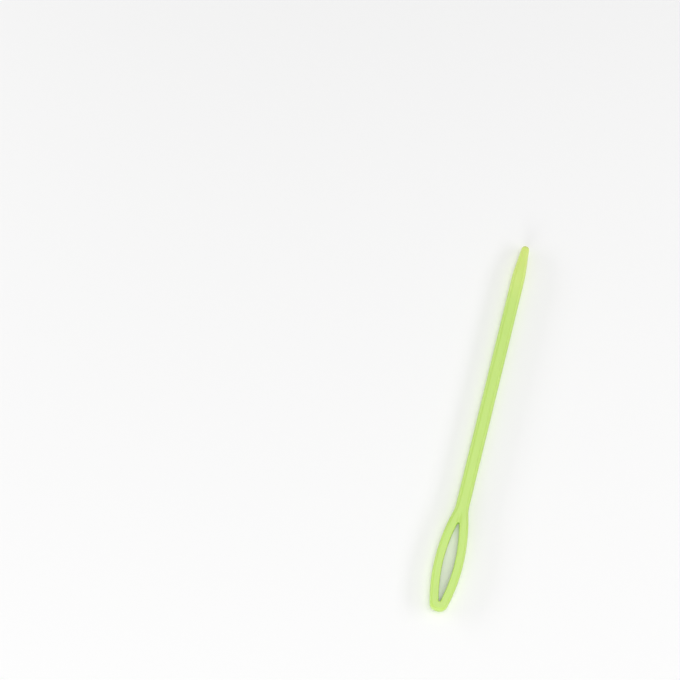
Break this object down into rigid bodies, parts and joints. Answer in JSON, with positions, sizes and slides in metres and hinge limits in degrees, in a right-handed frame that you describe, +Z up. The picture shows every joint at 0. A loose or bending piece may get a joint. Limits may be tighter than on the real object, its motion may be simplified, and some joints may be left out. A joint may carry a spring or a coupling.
{
  "type": "yarn needle",
  "caption": "Blunt moulded plastic yarn needle with a straight shaft, a short tapered tip and a long almond-shaped eye.",
  "frame": {"origin": "on the surface that the needle lies on, under the middle of its length and width", "axes": "+Y along the needle from its eye end to its tip, +X across the eye, +Z up through its thickness"},
  "size_m": [0.0066, 0.09, 0.0028],
  "materials": {
    "needle_plastic": "semi-gloss, lime-green moulded polypropylene"
  },
  "bodies": {
    "root": {"eye_loop": "needle_plastic", "shaft": "needle_plastic"}
  },
  "joints": []
}
